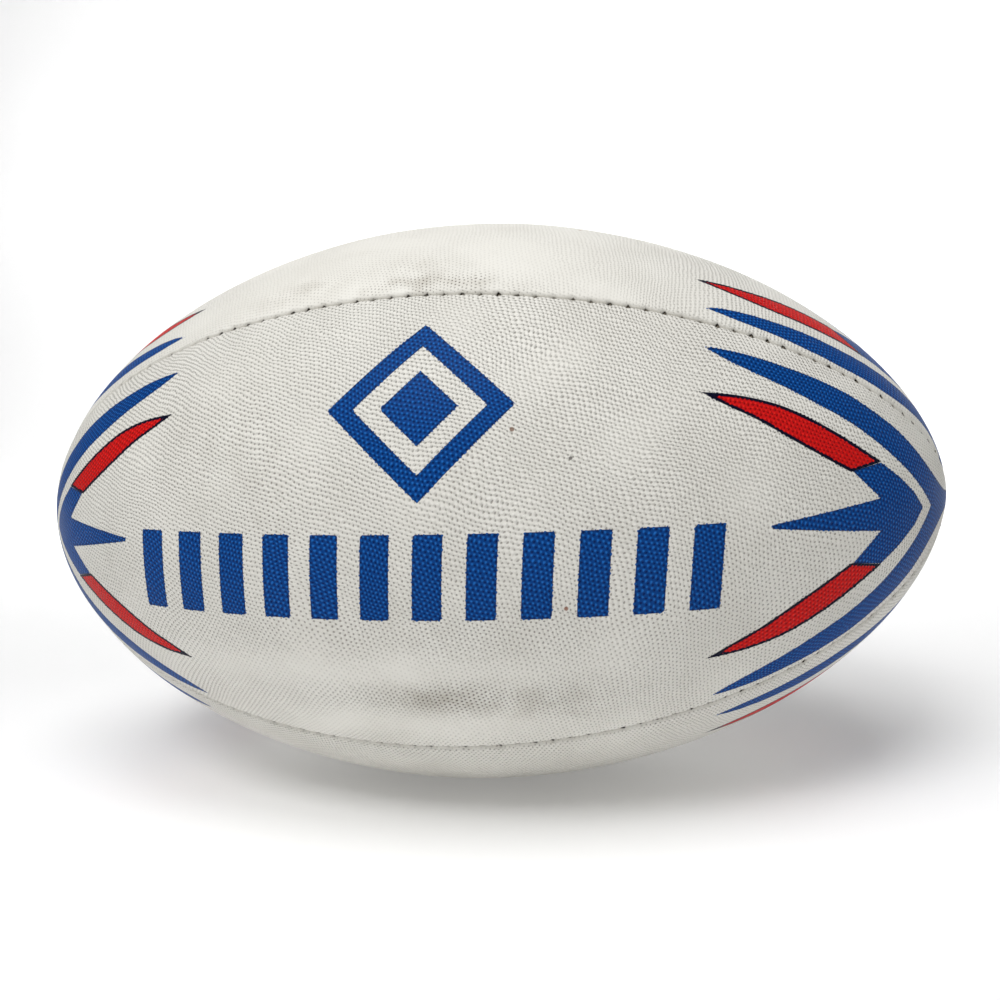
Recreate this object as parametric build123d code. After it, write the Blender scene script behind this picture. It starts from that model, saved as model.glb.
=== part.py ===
from build123d import *
import os
from math import acos, asin, copysign, cos, hypot, pi, sin, sqrt

# Rugby ball, hand stitched from four panels round an inflated bladder.
# Frame: origin at the centre of the ball, +X along its length, +Z up. The front panel faces -Y,
# and the four seams lie in the two planes through the X axis at 45 degrees to +Z.

# ---- driving dimensions, mm ----
half_length = 149.0          # centre to tip
belly_radius = 90.6          # at mid length
profile_power = 1.95         # 2 is an ellipse's; less is slimmer near the middle
profile_root = 0.58          # 0.5 is an ellipse's; more is a sharper tip
tip_radius = 3.0             # the flat that the four panel points make at each end

cover_thickness = 1.1        # pimpled rubber
ply_thickness = 0.4          # one layer of the polyester and cotton backing
ply_count = 3
bond_line = 0.1              # glue between layers
seam_gap = 0.1               # between the two panels of a seam
seam_allowance = 9.0         # how far the turned-in edges reach below the surface
edge_rounding = 2.2          # outer radius where a panel turns into its seam

stitch_pitch = 5.0
stitch_depth = 4.0           # of the stitch line below the surface
thread_radius = 0.4
thread_clearance = 0.05      # between the thread and the faces of the turned-in edges
unstitched_end = 16.0        # length of seam at each tip with no stitch

bladder_thickness = 0.6
bladder_clearance = 0.3      # between the bladder and the wall round it

valve_neck_radius = 5.0
valve_neck_clearance = 0.1
valve_neck_length = 14.0
valve_sink = 0.3             # top of the neck below the surface
valve_flange_radius = 15.0
valve_flange_thickness = 1.4
insert_radius = 2.8
insert_clearance = 0.05
insert_head_radius = 4.2
insert_head_thickness = 1.5
needle_radius = 1.0          # inflating needle

# ---- places that follow ----
stations = 20                # spans along the length of each lofted or turned shape
trim = 0.02                  # taken off each lofted side to leave it flat
profile_half_length = half_length / (
    1 - (tip_radius / belly_radius) ** (1 / profile_root)) ** (1 / profile_power)
ply_pitch = ply_thickness + bond_line
laminate_thickness = cover_thickness + ply_count * ply_pitch
fold_thickness = laminate_thickness + seam_gap / 2      # one turned-in edge, from the seam plane
stitch_reach = fold_thickness + thread_clearance + thread_radius
channel_half_width = stitch_reach + thread_radius + bladder_clearance
bladder_depth = laminate_thickness + bladder_clearance
valve_top = belly_radius - valve_sink
valve_bottom = valve_top - valve_neck_length
far = 2 * (half_length + belly_radius)                  # longer than any cut needs


def profile_point(share, depth):
    """Point (x, radius) of the ball's outline at this share of its length, moved inward by depth."""
    rest = 1 - abs(share) ** profile_power
    radius = belly_radius * rest ** profile_root
    slope = 0.0
    if share:
        bend = abs(share) ** (profile_power - 1) * copysign(1, share)
        slope = -belly_radius * profile_root * rest ** (profile_root - 1)
        slope *= profile_power * bend / profile_half_length
    stretch = hypot(1, slope)
    return profile_half_length * share + depth * slope / stretch, radius - depth / stretch


def end_share(depth, end_radius):
    """Share of the half length at which the outline at this depth has narrowed to end_radius."""
    low, high = 0.5, 1 - 1e-9
    for _ in range(60):
        middle = (low + high) / 2
        if profile_point(middle, depth)[1] > end_radius:
            low = middle
        else:
            high = middle
    return low


def outline(depth, end_radius):
    """Points of the outline at this depth, closer together towards the tips."""
    first = acos(end_share(depth, end_radius))
    step = (pi - 2 * first) / stations
    return [profile_point(-cos(first + step * i), depth) for i in range(stations + 1)]


def turned(depth):
    """Whole solid of revolution at this depth below the surface."""
    points = outline(depth, tip_radius)
    (x_start, radius), x_end = points[0], points[-1][0]
    curve = Spline(*[(x, r, 0) for x, r in points])
    closing = Polyline((x_end, radius, 0), (x_end, 0, 0), (x_start, 0, 0), (x_start, radius, 0))
    return revolve(make_face([curve, closing]), Axis.X, 360)


def panel_section(x, radius, inset, rounding):
    """Quarter sector round the -Y direction, inset from both seam planes, with rounded corners."""
    apex = (x, -inset * sqrt(2), 0)
    rounding = min(rounding, 0.3 * (radius - inset * sqrt(2)))
    centre_radius = radius - rounding
    turn = pi / 4 - asin((inset + rounding) / centre_radius)
    centre_y, centre_z = -centre_radius * cos(turn), centre_radius * sin(turn)

    def on_corner(angle):
        return centre_y - rounding * cos(angle), centre_z + rounding * sin(angle)

    wall = on_corner(3 * pi / 4)
    middle = on_corner((turn + 3 * pi / 4) / 2)
    arc_end = on_corner(turn)
    return make_face([
        Line(apex, (x, wall[0], wall[1])),
        ThreePointArc((x, *wall), (x, *middle), (x, *arc_end)),
        ThreePointArc((x, *arc_end), (x, -radius, 0), (x, arc_end[0], -arc_end[1])),
        ThreePointArc((x, arc_end[0], -arc_end[1]), (x, middle[0], -middle[1]),
                      (x, wall[0], -wall[1])),
        Line((x, wall[0], -wall[1]), apex),
    ])


def wedge(inset):
    """Endless quarter round the -Y direction between two flat walls inset from the seam planes."""
    apex = -inset * sqrt(2)
    corners = Polyline((-far, apex, 0), (-far, apex - far, far), (-far, apex - far, -far), close=True)
    return extrude(make_face(corners), amount=2 * far, dir=(1, 0, 0))


def panel_block(depth, inset, rounding):
    """Solid quarter of the ball at this depth, with flat sides inset from the seam planes."""
    rings = outline(depth, tip_radius + 2 * inset)
    rough = loft([panel_section(x, radius, inset - trim, rounding) for x, radius in rings])
    return rough & wedge(inset)


def stitch_places():
    """(x, radius) of each place where the thread crosses the seam, evenly spaced."""
    line = Spline(*[(x, r, 0) for x, r in outline(stitch_depth, tip_radius)])
    usable = line.length - 2 * unstitched_end
    spaces = int(usable / stitch_pitch)
    first = (line.length - spaces * stitch_pitch) / 2
    places = [line.position_at((first + i * stitch_pitch) / line.length)
              for i in range(spaces + 1)]
    return [(place.X, place.Y) for place in places]


def seam_point(x, radius, side):
    """Point beside the seam over the front panel, side mm up across the seam plane."""
    return x, (side - radius) / sqrt(2), (side + radius) / sqrt(2)


def panel_layer(depth, thickness, rounding, core):
    """One layer of the front panel with both edges turned in along the seams."""
    inset = depth + seam_gap / 2
    inside = panel_block(depth + thickness, inset + thickness, max(rounding - thickness, 0.3))
    return panel_block(depth, inset, rounding) - inside - core


def seam_thread():
    """Running stitch of the seam over the front panel, from one side to the other and back."""
    path = []
    side = -stitch_reach
    for x, radius in stitch_places():
        path += [seam_point(x, radius, side), seam_point(x, radius, -side)]
        side = -side
    route = Polyline(*path)
    start = Plane(origin=route @ 0, z_dir=route % 0)
    return sweep(start * Circle(thread_radius), path=route, transition=Transition.RIGHT)


def bladder_block(depth, half_width, allowance):
    """Solid at this depth with a channel along each seam that clears the turned-in edges."""
    channels = [Rot(angle, 0, 0) * Box(far, far, 2 * half_width) for angle in (45, -45)]
    return turned(depth) - (channels[0] + channels[1] - turned(allowance))


def bladder(neck_hole):
    """Thin closed bag with a hole for the valve neck."""
    allowance = seam_allowance + bladder_clearance
    outside = bladder_block(bladder_depth, channel_half_width, allowance)
    inside = bladder_block(bladder_depth + bladder_thickness,
                           channel_half_width + bladder_thickness, allowance + bladder_thickness)
    return outside - inside - neck_hole


def along_valve(radius, bottom, top):
    """Cylinder on the valve's axis, +Y, between two distances from the centre."""
    seat = Plane(origin=(0, bottom, 0), z_dir=(0, 1, 0))
    return seat * Cylinder(radius, top - bottom, align=(Align.CENTER, Align.CENTER, Align.MIN))


def valve_seat():
    """Rubber neck through the wall, with a flange bonded inside the bladder."""
    flange_top = bladder_depth + bladder_thickness + bond_line
    ring = turned(flange_top) - turned(flange_top + valve_flange_thickness)
    flange = ring & along_valve(valve_flange_radius, 0, far)
    neck = along_valve(valve_neck_radius, valve_bottom, valve_top)
    return flange + neck - along_valve(insert_radius + insert_clearance, 0, far)


def valve_insert():
    """Plug in the neck, with a foot under it and the needle's bore through both."""
    foot_top = valve_bottom - insert_clearance
    foot_bottom = foot_top - insert_head_thickness
    plug = along_valve(insert_radius, foot_top, valve_top)
    foot = along_valve(insert_head_radius, foot_bottom, foot_top)
    return plug + foot - along_valve(needle_radius, 0, far)


os.makedirs("parts", exist_ok=True)


def save(name, shape):
    export_step(shape, f"parts/{name}.step")


panel_turns = {"front": 0, "bottom": 90, "back": 180, "top": 270}
seam_turns = {"front_top": 0, "front_bottom": 90, "back_bottom": 180, "back_top": 270}
neck_hole = along_valve(valve_neck_radius + valve_neck_clearance, 0, far)
core = turned(seam_allowance)

layers = {"cover": (0.0, cover_thickness)}
for ply in range(ply_count):
    layers[f"ply_{ply + 1}"] = (cover_thickness + bond_line + ply * ply_pitch, ply_thickness)

for layer, (depth, thickness) in layers.items():
    front = panel_layer(depth, thickness, max(edge_rounding - depth, 0.3), core)
    for panel, turn in panel_turns.items():
        shape = Rot(turn, 0, 0) * front
        save(f"{layer}_{panel}", shape - neck_hole if panel == "back" else shape)

thread = seam_thread()
for seam, turn in seam_turns.items():
    save(f"thread_{seam}", Rot(turn, 0, 0) * thread)

save("bladder", bladder(neck_hole))
save("valve_seat", valve_seat())
save("valve_insert", valve_insert())
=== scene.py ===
import math

import bpy
import numpy as np
from mathutils import Matrix, Vector


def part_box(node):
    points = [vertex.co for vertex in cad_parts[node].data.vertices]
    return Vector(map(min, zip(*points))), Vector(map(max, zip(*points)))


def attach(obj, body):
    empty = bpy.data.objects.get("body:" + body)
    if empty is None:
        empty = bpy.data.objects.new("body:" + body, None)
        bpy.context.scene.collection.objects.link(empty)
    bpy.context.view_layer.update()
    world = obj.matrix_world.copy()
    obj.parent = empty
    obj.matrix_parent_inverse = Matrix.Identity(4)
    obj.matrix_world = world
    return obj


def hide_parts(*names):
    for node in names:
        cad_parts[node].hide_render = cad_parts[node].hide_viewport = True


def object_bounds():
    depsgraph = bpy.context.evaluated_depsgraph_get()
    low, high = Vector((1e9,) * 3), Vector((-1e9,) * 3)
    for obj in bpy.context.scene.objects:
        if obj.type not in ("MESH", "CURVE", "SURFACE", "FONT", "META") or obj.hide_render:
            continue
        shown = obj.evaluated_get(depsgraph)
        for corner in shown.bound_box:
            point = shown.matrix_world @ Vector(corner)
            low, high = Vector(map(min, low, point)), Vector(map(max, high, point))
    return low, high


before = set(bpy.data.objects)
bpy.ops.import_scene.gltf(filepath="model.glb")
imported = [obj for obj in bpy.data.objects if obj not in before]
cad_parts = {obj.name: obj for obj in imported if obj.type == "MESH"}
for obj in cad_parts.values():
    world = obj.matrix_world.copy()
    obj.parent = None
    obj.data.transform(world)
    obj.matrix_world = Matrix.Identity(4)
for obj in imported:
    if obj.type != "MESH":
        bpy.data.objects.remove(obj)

# Rugby ball. The four covers are replaced by finely meshed skins with puckered seams; their print is
# stored as signed distances on the mesh and their pimples are relief in the rubber's material.

cad_low, cad_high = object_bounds()
MM = 0.001

# ---- shape, mm, from the frame ----
half_length = cad_high[0] / MM
belly_radius = cad_high[2] / MM
profile_power = 1.95         # 2 is an ellipse's; less is slimmer near the middle
profile_root = 0.58          # 0.5 is an ellipse's; more is a sharper tip
tip_flat = 3.0               # radius at which the CAD model's tips are cut off
apex_length = half_length / (
    1 - (tip_flat / belly_radius) ** (1 / profile_root)) ** (1 / profile_power)

# ---- skin ----
seam_inset = 0.05            # of each panel's side from the seam plane
edge_rounding = 1.5          # where a panel turns into its seam
wall_depth = 2.4             # how far the skin follows the turned-in edge
pole_radius = 0.6            # where the skin stops at each tip
rows = 480                   # along the ball
top_columns = 160            # across a panel's outside
corner_columns = 9           # round each edge
wall_columns = 4             # down each seam's wall
panel_swell = 0.16           # height of a panel's unevenness
swell_size = 46              # of its lumps
swell_fade = 12              # how far from a seam it starts
panel_turns = {"front": 0, "bottom": 90, "back": 180, "top": 270}       # degrees about +X

# ---- seams, mm ----
diagonal = math.sqrt(0.5)
seam_turns = {"front_top": 0, "front_bottom": 90, "back_bottom": 180, "back_top": 270}
seam_shade = {               # panel: strength of the painted shade on the walls of its lower and its upper seam
    "front": (1.9, 1.0), "bottom": (1.2, 1.9), "back": (1.2, 1.2), "top": (1.0, 1.2)}
stitch_pitch = 5.0
most_stitches = 400          # more than a seam has
loosest_stitch = 0.35        # pull of the loosest stitch, where the tightest has 1
stitch_spread = 0.62         # how far the pull of one stitch reaches along the seam
stitch_dip = 0.35            # of the edge at a stitch
dip_width = 1.6
edge_sag = 0.25              # of the whole edge
sag_width = 5.0
hole_pull = 0.75             # of a stitch, away from the seam
hole_width = 1.0
hole_rim = 0.6               # how far into the seam the painted shade of a stitch hole starts
least_hole_radius = 9        # of the ball, where the painted shade of the stitch holes ends towards a tip
tip_fade = 12                # radius of the ball, where the seams start to grow smooth
unstitched_end = 14          # length of seam at each tip with no stitch
thread_depth = 1.75          # of the thread that shows, below the surface
thread_reach = 1.15          # half the length of thread that shows
thread_bow = 0.35            # of its ends into the seam
thread_lean = 0.35           # of its ends along the seam, at most
thread_radius = 0.42

# ---- valve, mm ----
valve_hole = 5.1             # radius of the hole in the back skin
valve_lip = 0.45             # how near the hole's edge a point is moved onto it
lip_depth = 1.3              # how far the lip is turned in
dish_depth = 0.7             # of the soft hollow round the hole
dish_radius = 9

# ---- print, mm: x from the ball's middle, w round the ball from the panel's centre line ----
print_places = {             # panel: at each end, shift along, shift round, lean, shift of low flame
    "front": {-1: (2.5, -1.5, 0.0, -2.8), 1: (1.1, -1.5, 0.0, -2.0)},
    "top": {-1: (0.3, -4.0, 0.6, 0.3), 1: (0.2, -4.2, -3.6, 0.9)},
    "bottom": {-1: (0.0, 1.5, 0.0, 0.0), 1: (0.0, 1.0, 0.0, 0.0)},
    "back": {-1: (0.0, 0.0, 0.0, 0.0), 1: (0.0, 0.8, 0.0, 0.0)},
}
RED_FLAME = [(73.5, 37.0), (83.5, 35.7), (92.5, 33.2), (99.5, 30.0), (108.5, 24.6), (116, 19.3),
             (122.7, 14.4), (113.3, 12.4), (110, 14.4), (98, 22), (88.5, 28.3), (81, 32.5)]
BLUE_BODY = [(91.5, -3), (91.5, 0.6), (121.6, 4.6), (113.5, 12.8), (122.3, 14.4), (128.4, 9.3),
             (133, 4.5), (135.8, 0), (136, -3)]
BLUE_FLAME = [(74.8, 51), (79, 50.3), (87, 48.2), (95.5, 44.8), (104, 41), (108, 38.8), (115, 34.6),
              (124.5, 27), (129, 22.8), (134, 17), (139.5, 9.6), (144.5, 3.6), (149.5, 1.5), (150, -3),
              (138.8, -3), (138.6, 0), (134.8, 6), (129.5, 12.3), (121.5, 20), (113.5, 26.5), (106, 31.4),
              (96, 37.7), (88.5, 42), (81, 46.5)]
lean_start = 75              # x at which a leaning flame has not moved
lean_length = 55             # it moves by its lean in this length
low_flame_fade = 20          # w over which the low flame's shift grows to all of it
flames_start = 66            # nothing of a flame is nearer the middle
marks_end = 86               # nothing of the bars is farther from it
far_outside = 50.0           # distance given where no print is near
outline_width = 0.85         # of the dark line round each red flame
flame_slimming = {"front": 0.0, "back": 0.0, "top": 0.4, "bottom": 0.5}
bar_row = {"first": -78.5, "pitch": 14.05, "count": 12, "middle": -10.2, "height": 23.2, "width": 8.0,
           "slant": 0.09, "fall": 0.0085}
valve_room = {"front": 0.0, "back": 8.5}       # how far the bars move over for the valve
lozenge = {"x": 4.4, "w": 34.0, "half": 25.0, "band": 5.2, "core": 10.5}


# ---------- shape ----------

def ball_radius(x):
    """Radius of the ball at this distance from its middle."""
    rest = np.clip(1 - np.abs(x / apex_length) ** profile_power, 0, None)
    return belly_radius * rest ** profile_root


def meridian():
    """x, radius, arc length from the middle and slope of the radius, at rows evenly spaced."""
    turn = np.linspace(1e-4, math.pi - 1e-4, 8001)
    x = -apex_length * np.cos(turn)
    radius = ball_radius(x)
    kept = radius >= pole_radius
    x, radius = x[kept], radius[kept]
    arc = np.concatenate([[0], np.cumsum(np.hypot(np.diff(x), np.diff(radius)))])
    even = np.linspace(0, arc[-1], rows)
    slope = np.interp(even, arc, np.gradient(radius, arc))
    return np.interp(even, arc, x), np.interp(even, arc, radius), even - arc[-1] / 2, slope


def stitch_pull(arc, seed):
    """How near each row is to a stitch, 0 to 1, some stitches pulled tighter than others."""
    tight = np.random.default_rng(seed).uniform(loosest_stitch, 1.0, most_stitches)
    share = arc / stitch_pitch
    away = (share % 1 - 0.5) * stitch_pitch
    stitch = np.floor(share).astype(int) + most_stitches // 2
    return tight[stitch] * np.exp(-(away / stitch_spread) ** 2)


def bumps(x, y, seed, size, count=7):
    """Smooth seeded unevenness from -1 to 1, its lumps about this size in mm."""
    random = np.random.default_rng(seed)
    total = np.zeros(np.broadcast(x, y).shape)
    for _ in range(count):
        angle, phase, wave = random.uniform(0, 2 * math.pi, 3)
        reach = 2 * math.pi / (size * (0.7 + 0.1 * wave))
        total += np.sin((x * math.cos(angle) + y * math.sin(angle)) * reach + phase)
    return total / count


def half_section(x, radius, arc):
    """The upper half of a panel's skin, from its centre line over the edge and into the seam.

    Gives y, z, the way round from the centre line, the depth into the seam, and the way left to the
    seam, all in mm."""
    inner = radius - seam_inset * math.sqrt(2)
    rounding = np.minimum(edge_rounding, 0.3 * inner)
    centre_radius = radius - rounding
    turn = math.pi / 4 - np.arcsin((seam_inset + rounding) / centre_radius)
    share = np.linspace(0, 1, top_columns // 2)
    angle = turn[:, None] * share
    y, z = [-radius[:, None] * np.cos(angle)], [radius[:, None] * np.sin(angle)]
    around, sunk = [radius[:, None] * angle], [np.zeros_like(angle)]
    step = np.linspace(0, 1, corner_columns + 1)[1:]
    bend = turn[:, None] + (3 * math.pi / 4 - turn[:, None]) * step
    centre_y, centre_z = -centre_radius * np.cos(turn), centre_radius * np.sin(turn)
    y.append(centre_y[:, None] - rounding[:, None] * np.cos(bend))
    z.append(centre_z[:, None] + rounding[:, None] * np.sin(bend))
    corner_arc = rounding[:, None] * (bend - turn[:, None])
    around.append((radius * turn)[:, None] + corner_arc)
    sunk.append(rounding[:, None] * (1 - np.cos(bend - turn[:, None])))
    depth = np.minimum(wall_depth, 0.5 * radius)[:, None] * np.linspace(0, 1, wall_columns + 1)[1:]
    y.append(y[1][:, -1:] + depth * diagonal)
    z.append(z[1][:, -1:] - depth * diagonal)
    around.append(around[1][:, -1:] + depth)
    sunk.append(sunk[1][:, -1:] + depth)
    y, z, around, sunk = (np.concatenate(parts, axis=1) for parts in (y, z, around, sunk))
    return y, z, around, sunk, (radius * math.pi / 4)[:, None] - around


def pull_to_stitches(y, z, near, beside, radius):
    """Each stitch pulls the edge in and opens a small hole; the whole edge sits a little low."""
    fade = np.clip(radius / tip_fade, 0, 1)[:, None] ** 2
    away = np.clip(beside, 0, None)
    dip = stitch_dip * near[:, None] * np.exp(-(away / dip_width) ** 2)
    dip = fade * (dip + edge_sag * np.exp(-(away / sag_width) ** 2))
    open_up = fade * hole_pull * near[:, None] * np.exp(-(away / hole_width) ** 2)
    return y + (dip - open_up) * diagonal, z - (dip + open_up) * diagonal


def unrolled(x, radius, arc, slope, w):
    """Place on the flat sheet that a panel is cut from, where the pimples are evenly spaced."""
    bend = np.abs(slope)[:, None] + 1e-6
    reach = w / radius[:, None] * bend
    slant = radius[:, None] / bend
    flat_x = arc[:, None] + np.sign(x)[:, None] * slant * (1 - np.cos(reach))
    return flat_x, slant * np.sin(reach)


# ---------- print ----------

def smooth_outline(points, corners=(), steps=5):
    """Closed outline with a Catmull-Rom curve between its points and sharp corners where named."""
    points = np.array(points, float)
    count = len(points)
    made = []
    for i in range(count):
        before, here, there, after = (points[(i + k) % count] for k in (-1, 0, 1, 2))
        if i in corners:
            before = here
        if (i + 1) % count in corners:
            after = there
        for t in np.linspace(0, 1, steps, endpoint=False):
            made.append(0.5 * (2 * here + (there - before) * t
                               + (2 * before - 5 * here + 4 * there - after) * t ** 2
                               + (3 * here - before - 3 * there + after) * t ** 3))
    return np.array(made)


def inside_distance(x, w, outline):
    """Signed distance to a closed outline, positive inside."""
    best = np.full(x.shape, 1e9)
    inside = np.zeros(x.shape, bool)
    for (ax, aw), (bx, bw) in zip(outline, np.roll(outline, -1, axis=0)):
        length = (bx - ax) ** 2 + (bw - aw) ** 2 + 1e-12
        share = np.clip(((x - ax) * (bx - ax) + (w - aw) * (bw - aw)) / length, 0, 1)
        best = np.minimum(best, np.hypot(x - ax - share * (bx - ax), w - aw - share * (bw - aw)))
        crosses = (aw > w) != (bw > w)
        inside ^= crosses & (x < ax + (bx - ax) * (w - aw) / (bw - aw + 1e-12))
    return np.where(inside, best, -best)


def bars(x, w):
    """Row of slanted bars along the middle of the panel."""
    height = w - bar_row["middle"] + bar_row["fall"] * x
    across = np.abs(height) - bar_row["height"] / 2
    leaning = x - height * bar_row["slant"]
    nearest = np.round((leaning - bar_row["first"]) / bar_row["pitch"])
    nearest = np.clip(nearest, 0, bar_row["count"] - 1)
    along = np.abs(leaning - bar_row["first"] - nearest * bar_row["pitch"]) - bar_row["width"] / 2
    return -np.maximum(across, along)


def lozenges(x, w):
    """A lozenge-shaped band with a small lozenge in it."""
    reach = (np.abs(x - lozenge["x"]) + np.abs(w - lozenge["w"])) / math.sqrt(2)
    half, core = lozenge["half"] / math.sqrt(2), lozenge["core"] / math.sqrt(2)
    band = lozenge["band"] / 2 - np.abs(reach - (half - lozenge["band"] / 2))
    return np.maximum(band, core - reach)


def printed(panel, x, w):
    """Signed distances of the blue and red print on one panel, positive inside."""
    body_outline = smooth_outline(BLUE_BODY, corners=range(9), steps=1)
    flame_outline = smooth_outline(BLUE_FLAME, corners=(0, 12, 13, 14))
    red_outline = smooth_outline(RED_FLAME, corners=(0, 6, 7))
    blue = np.full(x.shape, -far_outside)
    red = np.full(x.shape, -far_outside)
    for end, (along, around, lean, low) in print_places[panel].items():
        near = x * end > flames_start
        end_x = x[near] * end + along * (1 if end < 0 else -1)
        end_w = w[near] - around - lean * (end_x - lean_start) / lean_length
        body = inside_distance(end_x, np.abs(end_w), body_outline)
        flame_w = np.abs(end_w - low * np.clip(-end_w / low_flame_fade, 0, 1))
        flame = inside_distance(end_x, flame_w, flame_outline)
        blue[near] = np.maximum(body, flame - flame_slimming[panel])
        red[near] = inside_distance(end_x, np.abs(end_w), red_outline)
    if panel in ("front", "back"):
        marks = np.maximum(bars(x, w + valve_room[panel]), lozenges(x, w))
        blue = np.maximum(blue, np.where(np.abs(x) < marks_end, marks, -far_outside))
    return blue, red


# ---------- wear ----------

def patch(x, w, centre, size):
    """A soft oval spot, 1 at its centre."""
    return np.exp(-((x - centre[0]) / size[0]) ** 2 - ((w - centre[1]) / size[1]) ** 2)


def wear_and_dirt(panel, x, w, beside):
    """How far the pimples are rubbed down, and how dirty the rubber is, both 0 to 1."""
    seed = sorted(panel_turns).index(panel)
    clouds = bumps(x, w, 20 + seed, 34) * 1.6
    fine = bumps(x, w, 40 + seed, 11, 9) * 1.5
    wear = 0.10 + 0.35 * np.clip(clouds, 0, 1)
    dirt = 0.04 + 0.16 * np.clip(clouds * fine, 0, 1)
    dirt = dirt + 0.45 * np.exp(-(np.clip(beside, 0, None) / 1.3) ** 2) * np.clip(0.5 + fine, 0, 1)
    if panel == "front":
        wear = wear + 0.8 * patch(x, w, (-8, -58), (50, 9)) + 0.75 * patch(x, w, (-20, -38), (60, 7))
        wear = wear - 0.6 * patch(x, w, (7, -47), (26, 6))
        dirt = dirt + 0.85 * patch(x, w, (5, -47.5), (15, 4.5)) + 0.45 * patch(x, w, (34, -50), (16, 7))
        dirt = dirt + 0.16 * patch(x, w, (-42, 20), (18, 24)) + 0.14 * patch(x, w, (-5, -27), (45, 8))
    if panel == "top":
        wear = wear + 0.75 - 0.4 * np.clip((np.abs(x) - 45) / 40, 0, 1)
        dirt = 0.3 * dirt + 0.9 * patch(x, w, (6, -67), (19, 3.5)) * (1 + fine)
        dirt = dirt + 0.45 * patch(x, w, (-38, -60), (13, 6)) + 0.25 * patch(x, w, (-5, -58), (16, 5))
    return np.clip(wear, 0, 1), np.clip(dirt, 0, 1)


# ---------- meshes ----------

def add_object(name, data):
    """Object with this data, linked into the scene."""
    added = bpy.data.objects.new(name, data)
    bpy.context.scene.collection.objects.link(added)
    return added


def listed_mesh(name, vertices, faces):
    """Smooth object from lists of points in metres and faces."""
    mesh = bpy.data.meshes.new(name)
    mesh.from_pydata(vertices, [], faces)
    mesh.shade_smooth()
    return add_object(name, mesh)


def grid_mesh(name, x, y, z, facts, keep=None):
    """Object from a grid of points in mm, with float attributes and bake coordinates."""
    lines, columns = x.shape
    index = np.arange(lines * columns).reshape(lines, columns)
    quads = np.stack([index[:-1, :-1], index[1:, :-1], index[1:, 1:], index[:-1, 1:]], axis=-1)
    quads = quads.reshape(-1, 4)
    if keep is not None:
        quads = quads[keep[quads].all(axis=1)]
    mesh = bpy.data.meshes.new(name)
    mesh.vertices.add(index.size)
    places = np.stack([x, y, z], axis=-1) * MM
    mesh.vertices.foreach_set("co", places.astype(np.float32).ravel())
    mesh.loops.add(quads.size)
    mesh.loops.foreach_set("vertex_index", quads.astype(np.int32).ravel())
    mesh.polygons.add(len(quads))
    mesh.polygons.foreach_set("loop_start", np.arange(0, quads.size, 4, dtype=np.int32))
    mesh.update(calc_edges=True)
    mesh.validate()
    for fact, values in facts.items():
        attribute = mesh.attributes.new(fact, "FLOAT", "POINT")
        attribute.data.foreach_set("value", values.astype(np.float32).ravel())
    bake = mesh.uv_layers.new(name="OFBake")
    across, along = np.meshgrid(*(np.linspace(0.01, 0.99, count) for count in (columns, lines)))
    corners = np.stack([along.ravel(), across.ravel()], axis=-1)[quads.ravel()]
    bake.data.foreach_set("uv", corners.astype(np.float32).ravel())
    mesh.shade_smooth()
    return add_object(name, mesh)


def turned_about_x(y, z, degrees):
    """y and z after a turn about the ball's long axis."""
    angle = math.radians(degrees)
    return y * math.cos(angle) - z * math.sin(angle), y * math.sin(angle) + z * math.cos(angle)


def joined(low, high):
    """A panel's two halves side by side; both come from the centre line outward."""
    return np.concatenate([low[:, :0:-1], high], axis=1)


def make_skin(panel, turn):
    """One panel's skin with its print, wear and dirt."""
    x, radius, arc, slope = meridian()
    y, z, around, sunk, beside = half_section(x, radius, arc)
    sides = []
    for side in (0, 1):
        near = stitch_pull(arc, 100 + (turn // 90 + side) % 4)
        # painted shade in the small hole that each stitch opens at the seam's edge
        hole = np.exp(-(np.clip(beside + hole_rim, 0, None) / hole_width) ** 2)
        hole = near[:, None] * hole * (radius > least_hole_radius)[:, None]
        sides.append((*pull_to_stitches(y, z, near, beside, radius), hole))
    (low_y, low_z, low_hole), (y, z, hole) = sides
    y = joined(low_y, y)
    z = joined(-low_z, z)
    hole = joined(low_hole, hole)
    w = joined(-around, around)
    # the depth into each seam, scaled by how strong the painted shade in it is
    low_seam_shade, high_seam_shade = seam_shade[panel]
    sunk = joined(sunk * low_seam_shade, sunk * high_seam_shade)
    beside = joined(beside, beside)
    grid_x = np.repeat(x[:, None], w.shape[1], axis=1)
    swell = panel_swell * bumps(grid_x, w, 60 + turn, swell_size)
    swell = swell * np.clip(beside / swell_fade, 0, 1)
    length = np.hypot(y, z)
    y, z = y * (1 + swell / length), z * (1 + swell / length)
    flat_x, flat_w = unrolled(x, radius, arc, slope, w)
    blue, red = printed(panel, grid_x, w)
    wear, dirt = wear_and_dirt(panel, grid_x, w, beside)
    facts = {"flat_x": flat_x, "flat_w": flat_w, "blue": blue, "red": red, "wear": wear,
             "dirt": dirt, "sunk": sunk, "hole": hole, "place_x": grid_x, "place_w": w}
    y, z = turned_about_x(y, z, turn)
    keep = None
    if panel == "back":
        y, keep, grid_x, z = open_for_valve(grid_x, y, z)
    skin = grid_mesh(f"skin_{panel}", grid_x, y, z, facts, keep)
    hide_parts(f"cover_{panel}")
    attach(skin, "root")
    return skin


def open_for_valve(x, y, z):
    """Cuts a round hole on the valve's axis and turns its lip in.

    Gives y, which points are kept, x and z."""
    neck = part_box("valve_seat")[1][1] / MM
    out = np.hypot(x, z)
    kept = out > valve_hole - valve_lip
    lip = kept & (out < valve_hole + valve_lip)
    scale = np.where(lip, valve_hole / np.maximum(out, 1e-6), 1.0)
    soft = np.exp(-np.clip(out - valve_hole, 0, None) ** 2 / 0.8) * (y > 0)
    sink = np.where(lip, lip_depth, dish_depth * soft)
    pressed = np.minimum(y - sink, neck + 0.35 - sink * 0.4)
    return np.where(out < dish_radius, pressed, y), kept.ravel(), x * scale, z * scale


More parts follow.
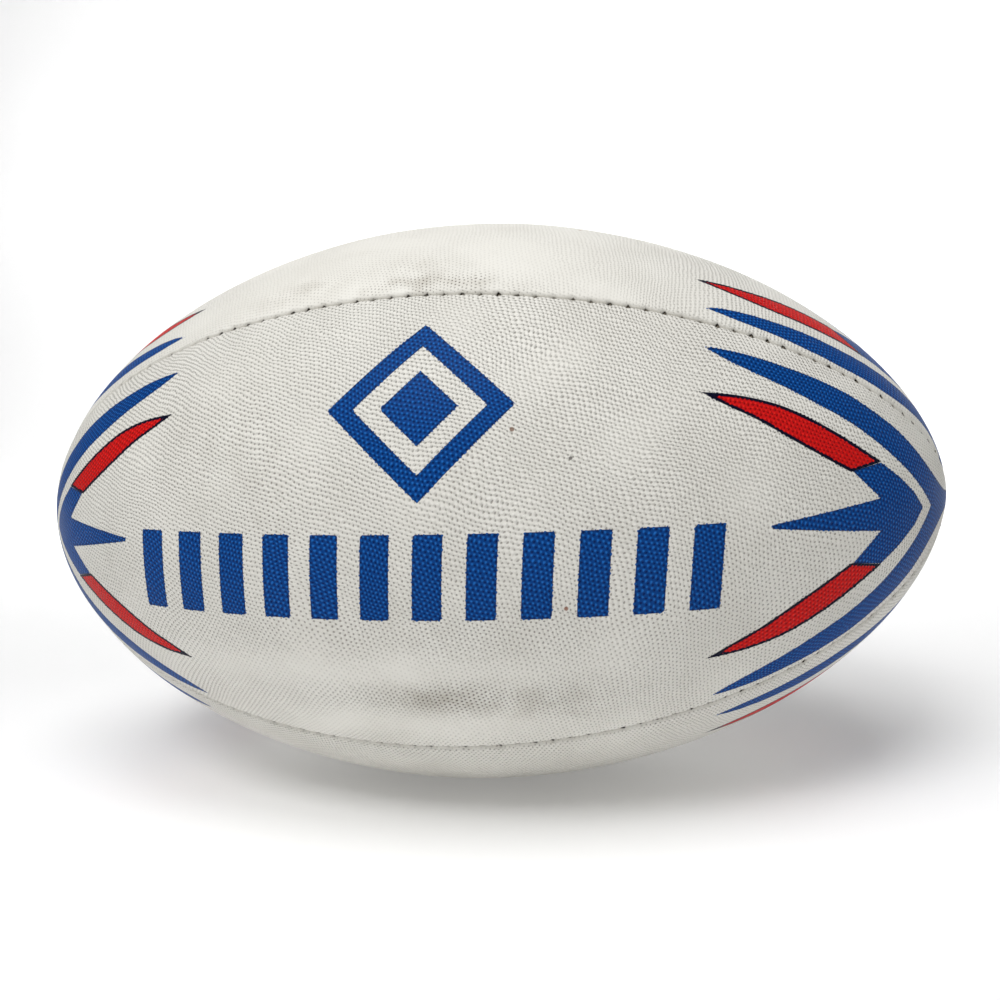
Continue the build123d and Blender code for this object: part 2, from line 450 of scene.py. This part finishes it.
def make_stitches(seam, turn):
    """The short lengths of thread that show across the bottom of one seam's valley."""
    x, radius, arc, _ = meridian()
    first = math.ceil((arc[0] + unstitched_end) / stitch_pitch) + 0.5
    outward = Vector((0, -diagonal, diagonal))
    across = Vector((0, diagonal, diagonal))
    sides, rings = 8, 5
    vertices, faces = [], []
    for place in np.arange(first * stitch_pitch, arc[-1] - unstitched_end, stitch_pitch):
        middle_x = np.interp(place, arc, x)
        middle_radius = np.interp(place, arc, radius) - thread_depth
        lean = thread_lean * math.sin(place * 1.7)
        base = len(vertices)
        for ring in range(rings):
            share = ring / (rings - 1) * 2 - 1
            centre = Vector((middle_x + lean * share, 0, 0)) + outward * middle_radius
            centre += across * (share * thread_reach) - outward * (thread_bow * share ** 2)
            for side in range(sides):
                angle = 2 * math.pi * side / sides
                offset = Vector((1, 0, 0)) * math.cos(angle) + outward * math.sin(angle)
                vertices.append((centre + offset * thread_radius) * MM)
        for ring in range(base, base + (rings - 1) * sides, sides):
            for side in range(sides):
                after = (side + 1) % sides
                faces.append((ring + side, ring + after, ring + sides + after, ring + sides + side))
        faces.append(tuple(base + side for side in reversed(range(sides))))
        faces.append(tuple(base + (rings - 1) * sides + side for side in range(sides)))
    piece = listed_mesh(f"stitches_{seam}", vertices, faces)
    piece.data.transform(Matrix.Rotation(math.radians(turn), 4, "X"))
    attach(piece, "root")
    return piece


# ---------- materials ----------

class Wiring:
    """Short way to build a material's node tree."""

    def __init__(self, name):
        self.material = bpy.data.materials.new(name)
        self.material.use_nodes = True
        self.tree = self.material.node_tree
        self.shader = self.tree.nodes["Principled BSDF"]

    def put(self, socket, value):
        if isinstance(value, bpy.types.NodeSocket):
            self.tree.links.new(value, socket)
        else:
            socket.default_value = value

    def fact(self, name):
        node = self.tree.nodes.new("ShaderNodeAttribute")
        node.attribute_name = name
        return node.outputs["Fac"]

    def math(self, operation, a, b=0.0, c=0.0, clamp=False):
        node = self.tree.nodes.new("ShaderNodeMath")
        node.operation = operation
        node.use_clamp = clamp
        for socket, value in zip(node.inputs, (a, b, c)):
            self.put(socket, value)
        return node.outputs[0]

    def ramp(self, value, low, high, to_low=0.0, to_high=1.0):
        node = self.tree.nodes.new("ShaderNodeMapRange")
        node.interpolation_type = "SMOOTHSTEP"
        for name, given in (("Value", value), ("From Min", low), ("From Max", high),
                            ("To Min", to_low), ("To Max", to_high)):
            self.put(node.inputs[name], given)
        return node.outputs["Result"]

    def mix(self, share, a, b):
        node = self.tree.nodes.new("ShaderNodeMix")
        node.data_type = "RGBA"
        for name, given in ((0, share), (6, a), (7, b)):
            self.put(node.inputs[name], given)
        return node.outputs[2]

    def noise(self, scale, detail=2.0):
        node = self.tree.nodes.new("ShaderNodeTexNoise")
        node.inputs["Scale"].default_value = scale
        node.inputs["Detail"].default_value = detail
        self.put(node.inputs["Vector"], self.tree.nodes.new("ShaderNodeTexCoord").outputs["Object"])
        return node.outputs["Fac"]

    def bump(self, height, distance):
        node = self.tree.nodes.new("ShaderNodeBump")
        node.inputs["Strength"].default_value = 1.0
        self.put(node.inputs["Height"], height)
        self.put(node.inputs["Distance"], distance)
        self.put(self.shader.inputs["Normal"], node.outputs["Normal"])

    def set(self, **inputs):
        for name, value in inputs.items():
            self.put(self.shader.inputs[name.replace("_", " ")], value)


def colour(red, green, blue):
    """Scene-linear colour from the 0 to 255 values of a screen."""
    def linear(value):
        value = value / 255
        return value / 12.92 if value <= 0.04045 else ((value + 0.055) / 1.055) ** 2.4
    return linear(red), linear(green), linear(blue), 1.0


pimple_pitch = 1.38          # mm
pimple_height = 0.00027      # metres
pimple_rows_turn = 12        # degrees, from the ball's length
WHITE = colour(229, 227, 220)
# painted shade for the hollows between the pimples
WHITE_HOLLOW_SHADE = colour(164, 161, 153)
BLUE = colour(6, 62, 130)
# painted highlight on the tops of the printed pimples, and painted shade in their hollows
BLUE_HIGHLIGHT = colour(30, 104, 188)
BLUE_HOLLOW_SHADE = colour(0, 34, 92)
RED = colour(200, 22, 24)
# painted highlight on the tops of the printed pimples, and painted shade in their hollows
RED_HIGHLIGHT = colour(232, 34, 24)
RED_HOLLOW_SHADE = colour(152, 4, 8)
INK = colour(10, 12, 36)
DIRT = colour(140, 130, 112)
DIRT_LOW = colour(84, 72, 62)
# painted shade for the stitch holes
HOLE_SHADE = colour(34, 28, 24)
# painted shade deep in a seam's valley
SEAM_SHADE = colour(96, 90, 79)
SPECKS = [                   # x and w in mm, radius in mm, colour
    (28.5, 27.2, 0.75, colour(120, 84, 58)),
    (43.0, 19.2, 0.55, colour(60, 56, 52)),
    (40.5, -19.4, 0.7, colour(150, 96, 70)),
]


def rubber_material():
    """Off-white pimpled rubber with blue and red print, rubbed and a little dirty, with painted shade in
    its pimples' hollows, its seams and its stitch holes, and painted highlights on the tops of its
    printed pimples.
    """
    made = Wiring("pimpled rubber")
    flat_x, flat_w = made.fact("flat_x"), made.fact("flat_w")
    drift = made.math("MULTIPLY_ADD", made.noise(26.0, 1.0), 9.0, -4.5)
    sway = made.math("MULTIPLY_ADD", made.noise(31.0, 1.0), -8.0, 4.0)
    shake = made.math("MULTIPLY_ADD", made.noise(420.0, 1.0), 0.9, -0.45)
    px = made.math("ADD", made.math("ADD", flat_x, drift), shake)
    pw = made.math("ADD", made.math("ADD", flat_w, sway), shake)
    reach = 4 * math.pi / (math.sqrt(3) * pimple_pitch)
    waves = []
    for degrees, lag in ((0, math.pi / 2), (60, 0), (120, 0)):
        angle = math.radians(degrees + pimple_rows_turn)
        along = made.math("MULTIPLY_ADD", px, reach * math.cos(angle), lag)
        waves.append(made.math("COSINE", made.math("MULTIPLY_ADD", pw, reach * math.sin(angle), along)))
    total = made.math("ADD", made.math("ADD", waves[0], waves[1]), waves[2])
    pimple = made.ramp(total, 0.2, 2.3)
    hollow = made.ramp(total, -0.9, -2.3)

    wear, dirt, sunk = made.fact("wear"), made.fact("dirt"), made.fact("sunk")
    in_seam = made.ramp(sunk, 0.8, 2.6)
    edge = made.ramp(sunk, 0.05, 0.7)
    relief = made.math("MULTIPLY", made.math("MULTIPLY_ADD", wear, -0.85, 1.0),
                       made.math("SUBTRACT", 1.0, edge))

    ragged = made.math("MULTIPLY_ADD", pimple, 0.22, -0.11)
    blue_edge = made.math("ADD", made.fact("blue"), ragged)
    red_edge = made.math("ADD", made.fact("red"), ragged)
    blue = made.ramp(blue_edge, -0.10, 0.10)
    red = made.ramp(red_edge, outline_width - 0.10, outline_width + 0.10)
    ink = made.ramp(red_edge, -0.10, 0.10)
    rim = made.math("MULTIPLY", blue, made.ramp(blue_edge, 0.25, 0.75, 1.0, 0.0))

    clouds = made.noise(45.0, 4.0)
    # painted shade in the hollows between the pimples, weaker where they are rubbed down
    white = made.mix(made.math("MULTIPLY", hollow, relief), WHITE, WHITE_HOLLOW_SHADE)
    white = made.mix(made.ramp(clouds, 0.35, 0.75, 0.0, 0.08), white, DIRT)
    grime = made.math("MULTIPLY", dirt, made.ramp(made.noise(160.0, 4.0), 0.3, 0.7))
    white = made.mix(made.math("MULTIPLY", grime, 0.45, clamp=True), white, DIRT)
    white = made.mix(made.math("MULTIPLY", dirt, hollow, clamp=True), white, DIRT_LOW)
    for x, w, size, tone in SPECKS:
        along = made.math("POWER", made.math("SUBTRACT", made.fact("place_x"), x), 2.0)
        round_ball = made.math("POWER", made.math("SUBTRACT", made.fact("place_w"), w), 2.0)
        away = made.math("SQRT", made.math("ADD", along, round_ball))
        white = made.mix(made.ramp(away, size * 0.6, size, 0.8, 0.0), white, tone)
    # blue print, with painted highlights on the pimples' tops and painted shade in their hollows
    ground = made.mix(blue, white, made.mix(hollow, made.mix(pimple, BLUE, BLUE_HIGHLIGHT), BLUE_HOLLOW_SHADE))
    ground = made.mix(made.math("MULTIPLY", rim, 0.35), ground, INK)
    ground = made.mix(ink, ground, INK)
    # red print, with painted highlights on the pimples' tops and painted shade in their hollows
    ground = made.mix(red, ground, made.mix(hollow, made.mix(pimple, RED, RED_HIGHLIGHT), RED_HOLLOW_SHADE))
    # painted shade, deeper into each seam's valley
    ground = made.mix(made.math("MULTIPLY", in_seam, 0.8), ground, SEAM_SHADE)
    # painted shade in the stitch holes
    ground = made.mix(made.ramp(made.fact("hole"), 0.20, 0.5), ground, HOLE_SHADE)
    rough = made.math("MULTIPLY_ADD", wear, 0.10, made.math("MULTIPLY_ADD", clouds, 0.12, 0.34))
    made.set(Base_Color=ground, Roughness=rough)
    made.shader.inputs["Specular IOR Level"].default_value = 0.06
    height = made.math("MULTIPLY", made.math("SUBTRACT", pimple, hollow), relief)
    height = made.math("MULTIPLY_ADD", made.noise(900.0, 2.0), 0.12, height)
    made.bump(height, pimple_height)
    return made.material


def cloth_material():
    """Rubber-proofed polyester and cotton, plain weave."""
    radians_per_metre = 9000.0
    made = Wiring("backing cloth")
    place = made.tree.nodes.new("ShaderNodeTexCoord").outputs["Object"]
    split = made.tree.nodes.new("ShaderNodeSeparateXYZ")
    made.put(split.inputs[0], place)
    warp = made.math("SINE", made.math("MULTIPLY", split.outputs["X"], radians_per_metre))
    weft = made.math("SINE", made.math("MULTIPLY", split.outputs["Z"], radians_per_metre))
    weave = made.math("MULTIPLY_ADD", made.math("MULTIPLY", warp, weft), 0.5, 0.5)
    made.set(Base_Color=made.mix(weave, colour(170, 160, 135), colour(222, 214, 190)), Roughness=0.85)
    made.bump(weave, 0.0001)
    return made.material


def thread_material():
    """Waxed twisted thread, darkened by dirt."""
    made = Wiring("waxed thread")
    twist = made.noise(1500.0, 3.0)
    made.set(Base_Color=made.mix(twist, colour(40, 36, 30), colour(120, 110, 92)), Roughness=0.55)
    made.bump(twist, 0.0002)
    return made.material


def soft_rubber_material(name, dark, light, rough):
    """Moulded rubber with a faint mottle."""
    made = Wiring(name)
    mottle = made.noise(220.0, 5.0)
    roughness = made.math("MULTIPLY_ADD", mottle, 0.2, rough)
    made.set(Base_Color=made.mix(mottle, dark, light), Roughness=roughness)
    made.bump(mottle, 0.00008)
    return made.material


def dress(names, material):
    """Gives the CAD nodes of these names the material."""
    for name in names:
        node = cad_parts[name]
        if not node.material_slots:
            node.data.materials.append(material)
        for held in node.material_slots:
            held.material = material


# ---------- stage ----------

def make_stage():
    """Pale floor that curves up into a backdrop."""
    floor_z = -belly_radius * MM
    front, depth, bend, rise, half_width = -2.0, 1.6, 0.6, 1.6, 3.0
    steps = 16
    profile = [(front, 0.0)]
    for i in range(steps + 1):
        angle = math.pi / 2 * i / steps
        profile.append((depth + bend * math.sin(angle), bend * (1 - math.cos(angle))))
    profile.append((depth + bend, rise))
    vertices = [(side * half_width, y, floor_z + z) for y, z in profile for side in (-1, 1)]
    faces = [(2 * i, 2 * i + 1, 2 * i + 3, 2 * i + 2) for i in range(len(profile) - 1)]
    floor = listed_mesh("floor", vertices, faces)
    made = Wiring("floor paint")
    paint = made.mix(made.noise(8.0), colour(246, 246, 246), colour(250, 250, 250))
    made.set(Base_Color=paint, Roughness=0.8, Emission_Color=paint, Emission_Strength=0.16)
    floor.data.materials.append(made.material)


def area_light(name, place, target, size, power):
    """Rectangular light at a place in metres, facing its target."""
    light = bpy.data.lights.new(name, "AREA")
    light.shape = "RECTANGLE"
    light.size, light.size_y = size
    light.energy = power
    holder = add_object(name, light)
    holder.location = place
    holder.rotation_euler = (Vector(target) - Vector(place)).to_track_quat("-Z", "Y").to_euler()


def make_lights():
    """Even soft light, one light above, one in front and one on the backdrop."""
    world = bpy.data.worlds.new("studio")
    world.use_nodes = True
    sky = world.node_tree.nodes["Background"]
    sky.inputs["Color"].default_value = (1, 1, 1, 1)
    sky.inputs["Strength"].default_value = 0.12
    bpy.context.scene.world = world
    area_light("top_light", (0.0, -0.34, 0.98), (0, 0, 0), (0.7, 0.5), 6.2)
    area_light("front_light", (-0.3, -1.05, 1.25), (0, 0, 0), (0.7, 0.5), 11.6)
    area_light("backdrop_light", (0, 0.6, 0.9), (0, 2.2, 0.1), (3.6, 0.4), 34)


def make_camera():
    """Close to the ball and a little above it, on its +X side and slightly rolled."""
    azimuth, elevation, roll = math.radians(11.0), math.radians(5.85), math.radians(-2.5)
    distance, aside = 0.3527, 0.0081
    back = Vector((math.sin(azimuth) * math.cos(elevation), -math.cos(azimuth) * math.cos(elevation),
                   math.sin(elevation)))
    level = Vector((math.cos(azimuth), math.sin(azimuth), 0))
    up = back.cross(level)
    right = level * math.cos(roll) + up * math.sin(roll)
    above = up * math.cos(roll) - level * math.sin(roll)
    camera = bpy.data.cameras.new("camera")
    camera.sensor_width = 36
    camera.lens = 37.5
    camera.clip_start = 0.01
    holder = add_object("camera", camera)
    place = level * aside + back * distance
    holder.matrix_world = Matrix((
        (right.x, above.x, back.x, place.x),
        (right.y, above.y, back.y, place.y),
        (right.z, above.z, back.z, place.z),
        (0, 0, 0, 1)))
    bpy.context.scene.camera = holder


# ---------- the scene ----------

rubber, thread = rubber_material(), thread_material()
for panel, turn in panel_turns.items():
    make_skin(panel, turn).data.materials.append(rubber)
for seam, turn in seam_turns.items():
    make_stitches(seam, turn).data.materials.append(thread)

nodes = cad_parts
dress([name for name in nodes if name.startswith(("ply_", "cover_"))], cloth_material())
dress([name for name in nodes if name.startswith("thread_")], thread)
for node, name, dark, light, rough in (
        ("bladder", "butyl", colour(28, 28, 30), colour(44, 44, 46), 0.4),
        ("valve_seat", "valve neck rubber", colour(150, 148, 140), colour(182, 180, 172), 0.45),
        ("valve_insert", "valve plug rubber", colour(40, 40, 44), colour(62, 62, 66), 0.4)):
    dress([node], soft_rubber_material(name, dark, light, rough))

make_stage()
make_lights()
make_camera()
bpy.context.scene.view_settings.view_transform = "Standard"
